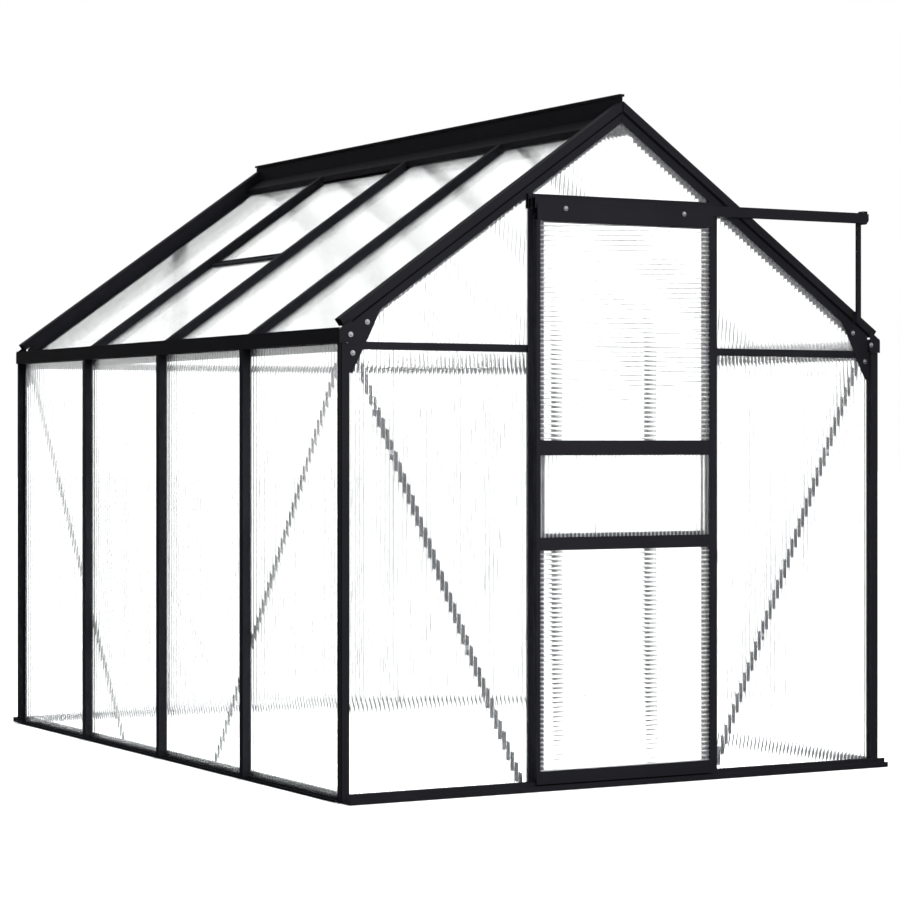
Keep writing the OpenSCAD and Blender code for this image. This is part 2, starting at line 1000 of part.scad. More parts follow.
// Roof vent in one bay of the left slope
vent_y0 = bar_y(vent_bay - 1);
vent_y1 = bar_y(vent_bay);

module vent_cross_bar() {
  y0 = vent_y0 + cap_w / 2 + seat_fit;
  y1 = vent_y1 - cap_w / 2 - seat_fit;
  low = -sheet_t - slot_fit;
  color(frame_colour)
    translate([-half_w, 0, glaze_z])
      rotate([0, -roof_pitch, 0])
        along_y(y0, y1)
          translate([cross_t, 0]) {
            tube(-cross_half, slot_fit, cross_half, cross_cap);
            area(-metal_t / 2, low, metal_t / 2, slot_fit + metal_t / 2);
            area(-cross_half, low - metal_t, cross_half, low);
            area(-metal_t / 2, low - 10, metal_t / 2, low);
          }
}

// Vent rails: side rails with a foot in the bar slots, top and bottom rails between
vent_foot = cap_w / 2 + 1;

module vent_side_profile() {
  top = slot_fit + metal_t;
  low = -sheet_t - slot_fit;
  area(metal_t / 2 + edge_fit, -sheet_t, vent_foot + metal_t / 2, 0);
  area(vent_foot, low - metal_t, vent_foot + metal_t, top);
  area(vent_foot, slot_fit, vent_foot + vent_rail, top);
  area(vent_foot, low - metal_t, vent_foot + vent_rail, low);
}

module vent_end_profile(up) {
  low = -sheet_t - slot_fit;
  area(0, low - metal_t, metal_t, up);
  area(0, slot_fit, vent_rail, slot_fit + metal_t);
  area(0, low - metal_t, vent_rail, low);
}

vent_t0 = cross_t + cross_half + 1;
vent_t1 = (half_w - wall_depth - 5) / run;

module vent_rails() {
  in0 = vent_y0 + vent_foot + vent_rail + seat_fit;
  in1 = vent_y1 - vent_foot - vent_rail - seat_fit;
  color(frame_colour) {
    for (hand = [0, 1])
      translate([0, hand * (vent_y0 + vent_y1), 0])
        mirror([0, hand, 0])
          translate([0, vent_y0, 0])
            up_slope(vent_t0, vent_t1)
              vent_side_profile();
    translate([-half_w, 0, glaze_z])
      rotate([0, -roof_pitch, 0])
        along_y(in0, in1) {
          translate([vent_t0, 0])
            vent_end_profile(vent_h);
          translate([vent_t1, 0])
            mirror([1, 0])
              vent_end_profile(slot_fit + metal_t);
        }
  }
}

module vent_sheet() {
  y0 = vent_y0 + vent_foot + metal_t + edge_fit;
  y1 = vent_y1 - vent_foot - metal_t - edge_fit;
  color(sheet_colour)
    up_slope(vent_t0 + metal_t + edge_fit, vent_t1 - metal_t - edge_fit)
      area(y0, -sheet_t, y1, 0);
}

// Door stile: thin front edge, slot for the sheets and a hollow box behind
module stile_profile() {
  box_y = metal_t + sheet_t + 2 * slot_fit;
  area(0, 0, stile_edge, metal_t);
  area(0, 0, metal_t, door_d);
  tube(0, box_y, stile_box, door_d);
}

stile_top = door_top - top_box - seat_fit;

// The foot straddles the sill's guide rib
module stile() {
  gap = metal_t / 2 + run_gap;
  difference() {
    translate([0, door_front, door_foot])
      linear_extrude(stile_top - door_foot)
        stile_profile();
    block(-1, guide_y - gap, 0, stile_box + 1, guide_y + gap, guide_h + run_gap);
  }
}

module door_left_stile() {
  color(frame_colour)
    translate([-door_left, 0, 0])
      stile();
}

module door_right_stile() {
  color(frame_colour)
    translate([door_right, 0, 0])
      other_side()
        stile();
}

// Cross rail of the door: front face between the stile edges, box between the stile boxes
module door_rail(z0, z1, box_z0, box_z1, mid) {
  x0 = -door_left + stile_edge + seat_fit;
  x1 = door_right - stile_edge - seat_fit;
  in0 = -door_left + stile_box + seat_fit;
  in1 = door_right - stile_box - seat_fit;
  box_y = door_front + metal_t + sheet_t + 2 * slot_fit;
  along_x(x0, x1)
    area(door_front, z0, door_front + metal_t, z1);
  along_x(in0, in1) {
    tube(box_y, box_z0, door_back, box_z1);
    area(door_front, mid - metal_t / 2, box_y + metal_t / 2, mid + metal_t / 2);
  }
}

low_mid = low_rail_z + low_rail_h / 2;
high_mid = high_rail_z + high_rail_h / 2;

module door_middle_rails() {
  low_top = low_rail_z + low_rail_h;
  color(frame_colour) {
    union()
      door_rail(low_rail_z, low_top, low_rail_z, low_top + 11, low_mid);
    union()
      door_rail(high_rail_z, high_rail_z + high_rail_h, high_rail_z,
        high_rail_z + high_rail_h, high_mid);
  }
}

// Bottom rail: a channel open below that straddles the sill's guide rib
module door_bottom_rail() {
  in0 = -door_left + stile_box + seat_fit;
  in1 = door_right - stile_box - seat_fit;
  top = door_foot + bottom_rail;
  shelf = top - 14;
  box_y = door_front + metal_t + sheet_t + 2 * slot_fit;
  color(frame_colour)
    union() {
      along_x(-door_left + stile_edge + seat_fit, door_right - stile_edge - seat_fit)
        area(door_front, door_foot, door_front + metal_t, top);
      along_x(in0, in1) {
        area(door_front, shelf, door_back, shelf + metal_t);
        area(door_back - metal_t, door_foot, door_back, top);
        area(box_y, shelf, box_y + metal_t, top);
        area(box_y, top - metal_t, door_back, top);
      }
    }
}

// Top rail: a box on the stiles, a front apron over the track and lips for the sheet
module door_top_rail() {
  box_z = door_top - top_box;
  box_y = door_front + metal_t + sheet_t + 2 * slot_fit;
  in0 = -door_left + stile_box + seat_fit;
  in1 = door_right - stile_box - seat_fit;
  color(frame_colour)
    union() {
      along_x(-door_left, door_right) {
        tube(apron_back - metal_t, box_z, door_back, door_top);
        area(apron_back - metal_t, box_z, apron_back, box_z + apron_h);
      }
      along_x(in0, in1) {
        area(door_front, box_z - top_lip / 2, door_front + metal_t, box_z + metal_t);
        area(box_y, box_z - top_lip, box_y + metal_t, box_z + metal_t);
      }
    }
}

module door_sheets() {
  x0 = -door_left + metal_t + edge_fit;
  x1 = door_right - metal_t - edge_fit;
  y1 = door_sheet_y + sheet_t;
  web = metal_t / 2 + edge_fit;
  shelf = door_foot + bottom_rail - 14;
  color(sheet_colour) {
    block(x0, door_sheet_y, shelf + metal_t + edge_fit, x1, y1, low_mid - web);
    block(x0, door_sheet_y, low_mid + web, x1, y1, high_mid - web);
    block(x0, door_sheet_y, high_mid + web, x1, y1, door_top - top_box - edge_fit);
  }
}

// Hangers: a foot behind the apron and a plate up through the track's slot
plate_y = track_back - track_d / 2;
plate_t = 3;
axle_z = tread_z + roller_r;

module hanger(x) {
  translate([x, 0, 0])
    union() {
      block(-17, apron_back + seat_fit, door_top + seat_fit, 17, plate_y + plate_t / 2, door_top + 11);
      block(-17, plate_y - plate_t / 2, door_top + seat_fit, 17, plate_y + plate_t / 2, axle_z + 6);
    }
}

module door_hangers() {
  color(steel_colour)
    for (i = [0, 1])
      hanger(-door_left + hanger_first + i * hanger_step);
}

module roller(x, y) {
  translate([x, y, axle_z])
    rotate([90, 0, 0])
      cylinder(r = roller_r, h = 7, center = true, $fn = 48);
}

module door_rollers() {
  off = plate_t / 2 + seat_fit + 3.5;
  color(roller_colour)
    for (i = [0, 1], hand = [-1, 1])
      roller(-door_left + hanger_first + i * hanger_step, plate_y + hand * off);
}

front_base_rail();
back_base_rail();
left_base_rail();
right_base_rail();
front_left_post();
front_right_post();
back_left_post();
back_right_post();
left_wall_bars();
right_wall_bars();
left_gutter();
right_gutter();
gutter_end_caps();
ridge_beam();
front_left_rafter();
front_right_rafter();
back_left_rafter();
back_right_rafter();
left_roof_bars();
right_roof_bars();
gusset_plates();
front_gable_rails();
back_gable_rails();
door_posts();
back_gable_posts();
door_header();
door_track();
track_end_cap();
track_strut();
wall_braces();
gable_braces();
left_wall_sheets();
right_wall_sheets();
left_roof_sheets();
right_roof_sheets();
front_gable_sheets();
back_gable_sheets();
vent_cross_bar();
vent_rails();
vent_sheet();
door_left_stile();
door_right_stile();
door_top_rail();
door_middle_rails();
door_bottom_rail();
door_sheets();
door_hangers();
door_rollers();
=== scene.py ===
import json
import math

import bmesh
import bpy
from mathutils import Matrix, Vector


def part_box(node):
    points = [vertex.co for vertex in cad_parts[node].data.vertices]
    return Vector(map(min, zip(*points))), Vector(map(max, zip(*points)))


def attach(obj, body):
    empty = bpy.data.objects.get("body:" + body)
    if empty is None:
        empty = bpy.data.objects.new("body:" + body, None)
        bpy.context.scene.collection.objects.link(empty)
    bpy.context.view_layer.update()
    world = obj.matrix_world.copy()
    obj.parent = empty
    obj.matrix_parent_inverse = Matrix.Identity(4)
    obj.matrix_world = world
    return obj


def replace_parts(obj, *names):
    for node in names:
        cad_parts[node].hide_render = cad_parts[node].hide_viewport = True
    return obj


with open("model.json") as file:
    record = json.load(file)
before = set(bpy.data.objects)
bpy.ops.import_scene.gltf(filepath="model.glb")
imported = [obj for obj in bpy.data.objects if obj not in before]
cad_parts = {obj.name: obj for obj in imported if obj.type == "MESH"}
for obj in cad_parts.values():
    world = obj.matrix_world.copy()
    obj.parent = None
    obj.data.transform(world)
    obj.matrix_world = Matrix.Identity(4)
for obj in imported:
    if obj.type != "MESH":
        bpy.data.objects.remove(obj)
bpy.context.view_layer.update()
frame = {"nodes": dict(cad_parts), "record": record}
nodes = frame["nodes"]
print("frame loaded:", len(nodes), "nodes")


# node helpers

mathNode = "ShaderNodeMath"
plus, minus, times, over = ({"operation": name} for name in ("ADD", "SUBTRACT", "MULTIPLY", "DIVIDE"))
power, above, most = ({"operation": name} for name in ("POWER", "GREATER_THAN", "MAXIMUM"))
whole, part, unsigned = ({"operation": name} for name in ("ROUND", "FRACT", "ABSOLUTE"))
# a colour mix has its factor at input 0, its colours at inputs 6 and 7 and its result at output 2
colourMix = {"data_type": "RGBA"}


def hexColour(text):
    # sRGB hex to the linear values a shader works in
    parts = [int(text[i:i + 2], 16) / 255 for i in (1, 3, 5)]
    linear = [c / 12.92 if c <= 0.04045 else ((c + 0.055) / 1.055) ** 2.4 for c in parts]
    return (*linear, 1.0)


def addNode(tree, kind, settings=None, **inputs):
    # inputs go by socket name, or by number as i0, i1, and a node stands for its first output
    made = tree.nodes.new(kind)
    for name, value in (settings or {}).items():
        setattr(made, name, value)
    for name, value in inputs.items():
        numbered = name[0] == "i" and name[1:].isdigit()
        socket = made.inputs[int(name[1:]) if numbered else name.replace("_", " ")]
        if isinstance(value, bpy.types.Node):
            value = value.outputs[0]
        if isinstance(value, bpy.types.NodeSocket):
            tree.links.new(value, socket)
        else:
            socket.default_value = value
    return made


def newMaterial(name):
    made = bpy.data.materials.new(name)
    made.use_nodes = True
    tree = made.node_tree
    tree.nodes.clear()
    return made, tree, tree.nodes.new("ShaderNodeOutputMaterial")


# powder-coated aluminium: near black and matt, a fine sandy skin takes the edge off its sheen

# grain and patches in millimetres; the real grit is about 0.1 mm, drawn coarser so that it shows
coat = {"pale": "#26262a", "deep": "#1e1e22", "patches": 200, "patchDetail": 3.0,
        "grain": 0.9, "grainDetail": 2.0, "rough": (0.5, 0.64), "gloss": 0.015,
        "bump": 0.12, "relief": 0.0002}


def makePowderCoat():
    made, tree, out = newMaterial("anthracite powder coat")
    place = addNode(tree, "ShaderNodeTexCoord").outputs["Object"]
    grain = addNode(tree, "ShaderNodeTexNoise", Vector=place, Scale=1000 / coat["grain"],
                    Detail=coat["grainDetail"])
    patches = addNode(tree, "ShaderNodeTexNoise", Vector=place, Scale=1000 / coat["patches"],
                      Detail=coat["patchDetail"])
    tone = addNode(tree, "ShaderNodeMix", colourMix, i0=patches, i6=hexColour(coat["deep"]),
                   i7=hexColour(coat["pale"]))
    rough = addNode(tree, "ShaderNodeMapRange", Value=grain, To_Min=coat["rough"][0],
                    To_Max=coat["rough"][1])
    bump = addNode(tree, "ShaderNodeBump", Strength=coat["bump"], Distance=coat["relief"], Height=grain)
    skin = addNode(tree, "ShaderNodeBsdfPrincipled", Base_Color=tone.outputs[2], Roughness=rough,
                   Specular_IOR_Level=coat["gloss"], Normal=bump)
    tree.links.new(skin.outputs[0], out.inputs[0])
    return made


# twin-wall sheet: clear plastic whose flutes bend what is behind them, with a little milky haze

# scuffs and fade in millimetres
sheetLook = {"tint": "#fcfdfd", "ior": 1.5, "scuff": 50, "scuffDetail": 4.0, "rough": (0.0, 0.004),
             "milk": "#ffffff", "haze": 0.05, "passes": "#f6f8f8", "line": "#949698",
             "fade": 350, "fadeDetail": 1.0, "fadeFrom": (0.35, 0.65), "fadeTo": (0.5, 1.0)}


def makeTwinWall():
    made, tree, out = newMaterial("clear twin-wall sheet")
    place = addNode(tree, "ShaderNodeTexCoord").outputs["Object"]
    scuff = addNode(tree, "ShaderNodeTexNoise", Vector=place, Scale=1000 / sheetLook["scuff"],
                    Detail=sheetLook["scuffDetail"])
    rough = addNode(tree, "ShaderNodeMapRange", Value=scuff, To_Min=sheetLook["rough"][0],
                    To_Max=sheetLook["rough"][1])
    # the webs between the flutes show as faint lines that come and go, and as milky dashes on what is dark
    drift = addNode(tree, "ShaderNodeTexNoise", Vector=place, Scale=1000 / sheetLook["fade"],
                    Detail=sheetLook["fadeDetail"])
    fade = addNode(tree, "ShaderNodeMapRange", Value=drift,
                   From_Min=sheetLook["fadeFrom"][0], From_Max=sheetLook["fadeFrom"][1],
                   To_Min=sheetLook["fadeTo"][0], To_Max=sheetLook["fadeTo"][1])
    line = addNode(tree, "ShaderNodeAttribute", {"attribute_name": "line"}).outputs["Fac"]
    tone = addNode(tree, "ShaderNodeMix", colourMix, i0=addNode(tree, mathNode, times, i0=line, i1=fade),
                   i6=hexColour(sheetLook["tint"]), i7=hexColour(sheetLook["line"]))
    skin = addNode(tree, "ShaderNodeBsdfPrincipled", Base_Color=tone.outputs[2], Roughness=rough,
                   IOR=sheetLook["ior"], Transmission_Weight=1.0)
    milk = addNode(tree, "ShaderNodeBsdfTranslucent", Color=hexColour(sheetLook["milk"]))
    web = addNode(tree, "ShaderNodeAttribute", {"attribute_name": "web"}).outputs["Fac"]
    haze = addNode(tree, mathNode, plus, i0=web, i1=sheetLook["haze"])
    hazy = addNode(tree, "ShaderNodeMixShader", i0=haze, i1=skin, i2=milk)
    # light passes almost unchecked, so the floor inside stays as pale as outside
    clear = addNode(tree, "ShaderNodeBsdfTransparent", Color=hexColour(sheetLook["passes"]))
    shadow = addNode(tree, "ShaderNodeLightPath").outputs["Is Shadow Ray"]
    mix = addNode(tree, "ShaderNodeMixShader", i0=shadow, i1=hazy, i2=clear)
    tree.links.new(mix.outputs[0], out.inputs[0])
    return made


# zinc-plated steel: pale grey metal with a faint drift, for hangers and bolts

zincLook = {"colour": "#85878b", "grain": 1.1, "grainDetail": 2.0, "rough": (0.4, 0.55), "metal": 1.0}

# moulded nylon: matt black, the rollers inside the track

nylonLook = {"colour": "#1a1a1a", "grain": 2, "grainDetail": 2.0, "rough": (0.5, 0.7), "metal": 0.0}


def makePlain(name, look):
    # one colour, with a roughness that varies by a grain in millimetres
    made, tree, out = newMaterial(name)
    place = addNode(tree, "ShaderNodeTexCoord").outputs["Object"]
    grain = addNode(tree, "ShaderNodeTexNoise", Vector=place, Scale=1000 / look["grain"],
                    Detail=look["grainDetail"])
    rough = addNode(tree, "ShaderNodeMapRange", Value=grain, To_Min=look["rough"][0],
                    To_Max=look["rough"][1])
    skin = addNode(tree, "ShaderNodeBsdfPrincipled", Base_Color=hexColour(look["colour"]),
                   Metallic=look["metal"], Roughness=rough)
    tree.links.new(skin.outputs[0], out.inputs[0])
    return made


powderCoat = makePowderCoat()
twinWall = makeTwinWall()
zinc = makePlain("zinc-plated steel", zincLook)
nylon = makePlain("moulded nylon", nylonLook)
finishOf = {"frame": powderCoat, "sheet": twinWall, "steel": zinc, "roller": nylon}
for row in frame["record"]["subparts"]:
    skins = nodes[row["node"]].data.materials
    skins.clear()
    skins.append(finishOf[row["material_slot"]])
print("materials made")


# geometry nodes helpers

def newGroup(name, inputs):
    tree = bpy.data.node_groups.new(name, "GeometryNodeTree")
    tree.interface.new_socket(name="Geometry", in_out="INPUT", socket_type="NodeSocketGeometry")
    for label, kind in inputs.items():
        tree.interface.new_socket(name=label, in_out="INPUT", socket_type="NodeSocket" + kind)
    tree.interface.new_socket(name="Geometry", in_out="OUTPUT", socket_type="NodeSocketGeometry")
    return tree, tree.nodes.new("NodeGroupInput"), tree.nodes.new("NodeGroupOutput")


def runGroup(group, start, values):
    # puts the group on a scratch object and returns the mesh that it makes
    scratch = bpy.data.objects.new("scratch", start)
    bpy.context.scene.collection.objects.link(scratch)
    modifier = scratch.modifiers.new("shape", "NODES")
    modifier.node_group = group
    for item in group.interface.items_tree:
        if item.in_out == "INPUT" and item.name in values:
            modifier[item.identifier] = values[item.name]
    bpy.context.view_layer.update()
    shaped = bpy.data.meshes.new_from_object(scratch.evaluated_get(bpy.context.evaluated_depsgraph_get()))
    scratch.modifiers.clear()
    bpy.data.objects.remove(scratch)
    return shaped


def addPiece(name, mesh, body):
    piece = bpy.data.objects.new(name, mesh)
    bpy.context.scene.collection.objects.link(piece)
    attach(piece, body)
    return piece


# fluted sheets: rows of shallow lens-shaped flutes on both skins

# pitch in metres; bulge and rib are how far a skin dips, evenly and close to the ribs, in pitches;
# web and line are how much the webs haze and darken the sheet
flute = {"wall": {"Pitch": 0.018, "Bulge": 0.012, "Rib": 0.016, "Web": 0.0, "Line": 0.0},
         "gable": {"Pitch": 0.0135, "Bulge": 0.05, "Rib": 0.04, "Web": 0.0, "Line": 0.5},
         "gableTop": {"Pitch": 0.0135, "Bulge": 0.018, "Rib": 0.04, "Web": 0.0, "Line": 0.2},
         "roof": {"Pitch": 0.0137, "Bulge": 0.003, "Rib": 0.01, "Web": 0.0, "Line": 0.0},
         "door": {"Pitch": 0.0135, "Bulge": 0.04, "Rib": 0.02, "Web": 0.5, "Line": 0.0}}
# a gable's sheets from topFrom up are flatter, and a door pane under lowPane tall has upright flutes
sheetShape = {"steps": 12, "ribPower": 6.0, "webPower": 3.0, "crispAngle": 20,
              "topFrom": 1.0, "lowPane": 0.4}
merge, near = 0.00001, 0.0005  # points closer than these are one, or lie on one edge


def makeSheetGroup():
    tree, given, result = newGroup("fluted sheet", {
        "Width": "Float", "Length": "Float", "Thickness": "Float", "Pitch": "Float", "Bulge": "Float",
        "Rib": "Float", "Web": "Float", "Line": "Float", "Slope": "Float", "Peak At": "Float",
        "Steps": "Int", "Material": "Material"})
    get = given.outputs
    fitting = addNode(tree, mathNode, over, i0=get["Width"], i1=get["Pitch"])
    count = addNode(tree, mathNode, most, i0=addNode(tree, mathNode, whole, i0=fitting), i1=1.0)
    step = addNode(tree, mathNode, over, i0=get["Width"], i1=count)
    pieces = addNode(tree, mathNode, times, i0=count, i1=get["Steps"])
    grid = addNode(tree, "GeometryNodeMeshGrid", Size_X=get["Width"], Size_Y=get["Length"],
                   Vertices_X=addNode(tree, mathNode, plus, i0=pieces, i1=1.0), Vertices_Y=2)
    place = addNode(tree, "ShaderNodeSeparateXYZ", i0=addNode(tree, "GeometryNodeInputPosition"))
    x, y, z = place.outputs
    # the upper ends follow the rafters
    upper = addNode(tree, mathNode, above, i0=y, i1=0.0)
    away = addNode(tree, mathNode, unsigned, i0=addNode(tree, mathNode, minus, i0=x, i1=get["Peak At"]))
    fall = addNode(tree, mathNode, times, i0=away, i1=get["Slope"])
    drop = addNode(tree, mathNode, times, i0=fall, i1=addNode(tree, mathNode, times, i0=upper, i1=-1.0))
    cut = addNode(tree, "GeometryNodeSetPosition", Geometry=grid,
                  Offset=addNode(tree, "ShaderNodeCombineXYZ", i1=drop))
    raised = addNode(tree, "GeometryNodeExtrudeMesh", {"mode": "FACES"}, Mesh=cut,
                     Offset_Scale=get["Thickness"], Individual=False)
    under = addNode(tree, "GeometryNodeFlipFaces", Mesh=cut)
    joined = addNode(tree, "GeometryNodeJoinGeometry")
    tree.links.new(raised.outputs[0], joined.inputs[0])
    tree.links.new(under.outputs[0], joined.inputs[0])
    closed = addNode(tree, "GeometryNodeMergeByDistance", Geometry=joined, Distance=merge)
    # off runs from -1 at one rib to 1 at the next, and both skins curve in toward the ribs
    edge = addNode(tree, mathNode, plus, i0=x, i1=addNode(tree, mathNode, over, i0=get["Width"], i1=2.0))
    along = addNode(tree, mathNode, part, i0=addNode(tree, mathNode, over, i0=edge, i1=step))
    off = addNode(tree, mathNode, minus, i0=addNode(tree, mathNode, times, i0=along, i1=2.0), i1=1.0)
    far = addNode(tree, mathNode, unsigned, i0=off)
    square = addNode(tree, mathNode, times, i0=off, i1=off)
    even = addNode(tree, mathNode, times, i0=square, i1=get["Bulge"])
    sharp = addNode(tree, mathNode, power, i0=far, i1=sheetShape["ribPower"])
    close = addNode(tree, mathNode, times, i0=sharp, i1=get["Rib"])
    dip = addNode(tree, mathNode, times, i0=addNode(tree, mathNode, plus, i0=even, i1=close), i1=step)
    middle = addNode(tree, mathNode, over, i0=get["Thickness"], i1=2.0)
    front = addNode(tree, mathNode, above, i0=z, i1=middle)
    sign = addNode(tree, mathNode, minus, i0=1.0, i1=addNode(tree, mathNode, times, i0=front, i1=2.0))
    shift = addNode(tree, "ShaderNodeCombineXYZ", i2=addNode(tree, mathNode, times, i0=dip, i1=sign))
    curved = addNode(tree, "GeometryNodeSetPosition", Geometry=closed, Offset=shift)
    crisp = addNode(tree, "FunctionNodeCompare", {"operation": "GREATER_THAN"},
                    i0=addNode(tree, "GeometryNodeInputMeshEdgeAngle"),
                    i1=math.radians(sheetShape["crispAngle"]))
    shaped = addNode(tree, "GeometryNodeStoreNamedAttribute", {"data_type": "BOOLEAN", "domain": "EDGE"},
                     Geometry=curved, Name="sharp_edge", Value=crisp)
    # what the material reads of the webs
    webbed = addNode(tree, mathNode, power, i0=far, i1=sheetShape["webPower"])
    for label in ("Web", "Line"):
        shaped = addNode(tree, "GeometryNodeStoreNamedAttribute", {"data_type": "FLOAT", "domain": "POINT"},
                         Geometry=shaped, Name=label.lower(),
                         Value=addNode(tree, mathNode, times, i0=webbed, i1=get[label]))
    coated = addNode(tree, "GeometryNodeSetMaterial", Geometry=shaped, Material=get["Material"])
    tree.links.new(coated.outputs[0], result.inputs[0])
    return tree


def solidsOf(piece):
    # the separate solids of a node, each as a list of points
    work = bmesh.new()
    work.from_mesh(piece.data)
    bmesh.ops.remove_doubles(work, verts=work.verts, dist=merge)
    found, seen = [], set()
    for first in work.verts:
        if first in seen:
            continue
        seen.add(first)
        waiting, group = [first], []
        while waiting:
            spot = waiting.pop()
            group.append(spot.co.copy())
            for link in spot.link_edges:
                other = link.other_vert(spot)
                if other not in seen:
                    seen.add(other)
                    waiting.append(other)
        found.append(group)
    work.free()
    return found


def fluted(points, across, along, out, kind):
    # one sheet, its flutes running along the given direction
    flat = [(p.dot(across), p.dot(along), p.dot(out)) for p in points]
    lowU, lowV, lowW = (min(f[i] for f in flat) for i in range(3))
    highU, highV, highW = (max(f[i] for f in flat) for i in range(3))
    ends = [max(f[1] for f in flat if abs(f[0] - u) < near) for u in (lowU, highU)]
    peak = [f[0] for f in flat if abs(f[1] - highV) < near]
    peakAt, slope = sum(peak) / len(peak), 0.0
    if min(ends) < highV - 2 * near:
        farther = lowU if ends[0] <= ends[1] else highU
        slope = (highV - min(ends)) / abs(peakAt - farther)
    made = runGroup(sheetGroup, bpy.data.meshes.new("start"), {
        "Width": highU - lowU, "Length": highV - lowV, "Thickness": highW - lowW, **flute[kind],
        "Slope": slope, "Peak At": peakAt - (lowU + highU) / 2, "Steps": sheetShape["steps"],
        "Material": twinWall})
    turn = Matrix((across, along, out)).transposed().to_4x4()
    middle = across * (lowU + highU) / 2 + along * (lowV + highV) / 2 + out * lowW
    made.transform(Matrix.Translation(middle) @ turn)
    return made


def addSheets(node, body, sheets):
    # one new piece for all the sheets of a node
    work = bmesh.new()
    for sheet in sheets:
        work.from_mesh(sheet)
    mesh = bpy.data.meshes.new(node.replace("sheet", "fluted_sheet"))
    work.to_mesh(mesh)
    work.free()
    mesh.materials.append(twinWall)
    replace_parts(addPiece(mesh.name, mesh, body), node)


def slopeAxes(side):
    # across the slope, up it and out of it, with side -1 for left and 1 for right
    skin = [v.co for v in nodes["right_roof_sheets"].data.vertices]
    low = max(skin, key=lambda p: (round(p.x, 4), p.z))
    high = max(skin, key=lambda p: (round(p.z, 4), p.x))
    rise = (high.z - low.z) / (low.x - high.x)
    up = Vector((-side, 0, rise)).normalized()
    out = Vector((side * rise, 0, 1)).normalized()
    return up.cross(out), up, out


sheetGroup = makeSheetGroup()
axisX, axisY, axisZ = Vector((1, 0, 0)), Vector((0, 1, 0)), Vector((0, 0, 1))
layOut = {"left_wall_sheets": (-axisY, axisZ, -axisX, "wall"),
          "right_wall_sheets": (axisY, axisZ, axisX, "wall"),
          "front_gable_sheets": (axisX, axisZ, -axisY, "gable"),
          "back_gable_sheets": (-axisX, axisZ, axisY, "gable"),
          "left_roof_sheets": (*slopeAxes(-1), "roof"),
          "right_roof_sheets": (*slopeAxes(1), "roof"),
          "vent_sheet": (*slopeAxes(-1), "roof")}
for node, (across, along, out, kind) in layOut.items():
    sheets = []
    for points in solidsOf(nodes[node]):
        # the gables' upper sheets are flatter
        top = kind == "gable" and min(p.z for p in points) > sheetShape["topFrom"]
        sheets.append(fluted(points, across, along, out, "gableTop" if top else kind))
    addSheets(node, "house", sheets)
doorSheets = []
for points in solidsOf(nodes["door_sheets"]):
    tall = max(p.z for p in points) - min(p.z for p in points)
    # flutes lie level in the two tall panes and stand upright in the low middle one
    across, along = (axisX, axisZ) if tall < sheetShape["lowPane"] else (-axisZ, axisX)
    doorSheets.append(fluted(points, across, along, -axisY, "door"))
addSheets("door_sheets", "door", doorSheets)
print("sheets fluted")


# bolts: a round head on a washer, at the gussets, the gutters' ends, the braces and the door's hangers

# spots are given from the middle of the house
bolt = {"head": 0.0052, "height": 0.0034, "washer": 0.0072, "plate": 0.0012,
        "sides": 24, "segments": 20, "rings": 10,
        "gusset": [(0.8395, 1.3275), (0.885, 1.241)], "gutter": [(0.8985, 1.2915)],
        "brace": [(0.751, 0.966), (0.508, 0.412)], "hanger": [-0.231, 0.176], "hangerDrop": 0.011}


def makeBoltGroup():
    tree, given, result = newGroup("bolts", {"Head": "Float", "Height": "Float", "Washer": "Float",
                                             "Plate": "Float", "Turn": "Vector", "Material": "Material"})
    get = given.outputs
    washer = addNode(tree, "GeometryNodeMeshCylinder", Vertices=bolt["sides"], Radius=get["Washer"],
                     Depth=get["Plate"])
    ball = addNode(tree, "GeometryNodeMeshUVSphere", Segments=bolt["segments"], Rings=bolt["rings"],
                   Radius=get["Head"])
    flat = addNode(tree, mathNode, over, i0=get["Height"], i1=get["Head"])
    dome = addNode(tree, "GeometryNodeTransform", Geometry=ball,
                   Scale=addNode(tree, "ShaderNodeCombineXYZ", i0=1.0, i1=1.0, i2=flat))
    smooth = addNode(tree, "GeometryNodeSetShadeSmooth", Geometry=dome)
    joined = addNode(tree, "GeometryNodeJoinGeometry")
    tree.links.new(washer.outputs[0], joined.inputs[0])
    tree.links.new(smooth.outputs[0], joined.inputs[0])
    put = addNode(tree, "GeometryNodeInstanceOnPoints", Points=get["Geometry"], Instance=joined,
                  Rotation=get["Turn"])
    real = addNode(tree, "GeometryNodeRealizeInstances", Geometry=put)
    coated = addNode(tree, "GeometryNodeSetMaterial", Geometry=real, Material=get["Material"])
    tree.links.new(coated.outputs[0], result.inputs[0])
    return tree


def addBolts(name, body, spots, facing):
    # facing is -1 toward the front and 1 toward the back
    start = bpy.data.meshes.new("spots")
    start.from_pydata([(x, y + facing * bolt["plate"] / 2, z) for x, y, z in spots], [], [])
    mesh = runGroup(boltGroup, start, {
        "Head": bolt["head"], "Height": bolt["height"], "Washer": bolt["washer"], "Plate": bolt["plate"],
        "Turn": (-facing * math.pi / 2, 0, 0), "Material": zinc})
    mesh.name = name
    addPiece(name, mesh, body)


boltGroup = makeBoltGroup()
for label, node in (("gusset", "gusset_plates"), ("gutter", "gutter_end_caps"), ("brace", "gable_braces")):
    low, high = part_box(node)
    for end, y, facing in (("front", low[1], -1), ("back", high[1], 1)):
        spots = [(side * x, y, z) for side in (-1, 1) for x, z in bolt[label]]
        addBolts(end + "_" + label + "_bolts", "house", spots, facing)
low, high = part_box("door_top_rail")
spots = [(x, low[1], high[2] - bolt["hangerDrop"]) for x in bolt["hanger"]]
addBolts("door_hanger_bolts", "door", spots, -1)
print("bolts set")


# floor, light and camera

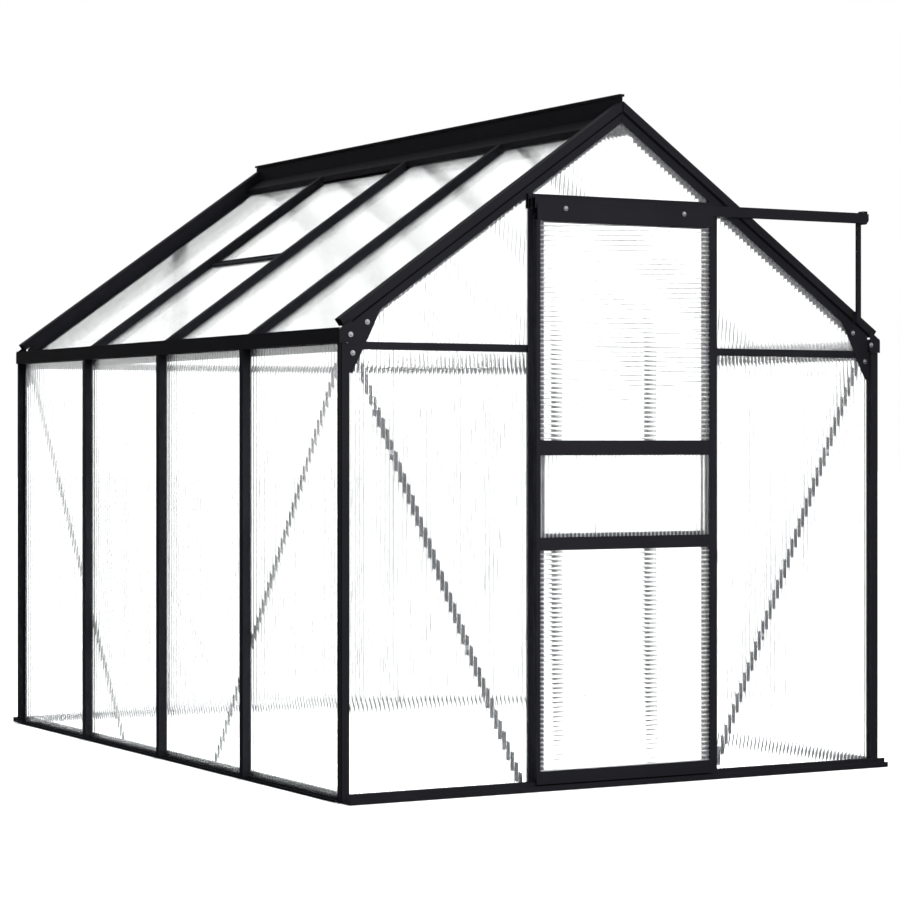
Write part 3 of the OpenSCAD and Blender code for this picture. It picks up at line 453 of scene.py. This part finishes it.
# through, soft and sheen are strengths of the white around; lamp sizes are in metres and degrees
studio = {"floor": "#fbfbfb", "bounce": "#383838", "reach": 60, "sink": 0.001,
          "through": 1.45, "soft": 0.25, "sheen": 1.0,
          "key": 66, "keyAt": (-0.6, -3.85, 1.5), "keyAim": (0.0, -1.25, 0.9), "keySize": 0.8,
          "top": 5.5, "topFrom": (1.0, 0.15, 1.0), "topSize": 70}
# focal length and horizon are in pixels of a picture of this size
view = {"place": (-4.420, -8.089, 1.0044), "yaw": 29.31, "focal": 2787, "horizon": 438.5, "picture": 900,
        "sensor": 36}


def makeFloor():
    # white to the eye, and grey in the light that it throws back
    made, tree, out = newMaterial("studio floor")
    path = addNode(tree, "ShaderNodeLightPath").outputs
    seen = addNode(tree, mathNode, most, i0=path["Is Camera Ray"], i1=path["Is Transmission Ray"])
    tone = addNode(tree, "ShaderNodeMix", colourMix, i0=seen, i6=hexColour(studio["bounce"]),
                   i7=hexColour(studio["floor"]))
    skin = addNode(tree, "ShaderNodeBsdfDiffuse", Color=tone.outputs[2])
    tree.links.new(skin.outputs[0], out.inputs[0])
    mesh = bpy.data.meshes.new("floor")
    far = studio["reach"]
    mesh.from_pydata([(-far, -far, 0), (far, -far, 0), (far, far, 0), (-far, far, 0)], [], [(0, 1, 2, 3)])
    mesh.materials.append(made)
    floor = bpy.data.objects.new("floor", mesh)
    floor.location.z = -studio["sink"]
    bpy.context.scene.collection.objects.link(floor)


def makeWorld():
    # white where it is looked at, brighter through the sheets for what they take, softer where it lights
    world = bpy.data.worlds.new("studio")
    bpy.context.scene.world = world
    world.use_nodes = True
    tree = world.node_tree
    tree.nodes.clear()
    path = addNode(tree, "ShaderNodeLightPath").outputs
    through = addNode(tree, mathNode, times, i0=path["Is Transmission Ray"], i1=studio["through"])
    seen = addNode(tree, mathNode, most, i0=path["Is Camera Ray"], i1=through)
    sheen = addNode(tree, mathNode, times, i0=path["Is Glossy Ray"], i1=studio["sheen"])
    looked = addNode(tree, mathNode, most, i0=seen, i1=sheen)
    level = addNode(tree, mathNode, most, i0=looked, i1=studio["soft"])
    white = addNode(tree, "ShaderNodeBackground", Color=(1, 1, 1, 1), Strength=level)
    out = tree.nodes.new("ShaderNodeOutputWorld")
    tree.links.new(white.outputs[0], out.inputs[0])


def makeLamp(name, light, facing, place=(0, 0, 0)):
    # a lamp shines along its own -Z, so its Z is turned away from what it lights
    lamp = bpy.data.objects.new(name, light)
    lamp.location = place
    lamp.rotation_euler = facing.to_track_quat("Z", "Y").to_euler()
    bpy.context.scene.collection.objects.link(lamp)


def makeLights():
    # a soft box close to the gable, which leaves the far end dimmer, and a wide light from above
    box = bpy.data.lights.new("key", "AREA")
    box.energy = studio["key"]
    box.size = studio["keySize"]
    makeLamp("key", box, Vector(studio["keyAt"]) - Vector(studio["keyAim"]), studio["keyAt"])
    sun = bpy.data.lights.new("top", "SUN")
    sun.energy = studio["top"]
    sun.angle = math.radians(studio["topSize"])
    makeLamp("top", sun, Vector(studio["topFrom"]))


def makeCamera():
    # level, with the horizon set by the shift, so upright edges stay upright
    camera = bpy.data.cameras.new("camera")
    camera.sensor_width = view["sensor"]
    camera.lens = view["focal"] / view["picture"] * view["sensor"]
    camera.shift_y = (view["horizon"] - view["picture"] / 2) / view["picture"]
    holder = bpy.data.objects.new("camera", camera)
    holder.location = view["place"]
    holder.rotation_euler = (math.radians(90), 0, math.radians(-view["yaw"]))
    bpy.context.scene.collection.objects.link(holder)
    bpy.context.scene.camera = holder


makeFloor()
makeWorld()
makeLights()
makeCamera()
bpy.context.scene.view_settings.view_transform = "Standard"
print("scene ready")
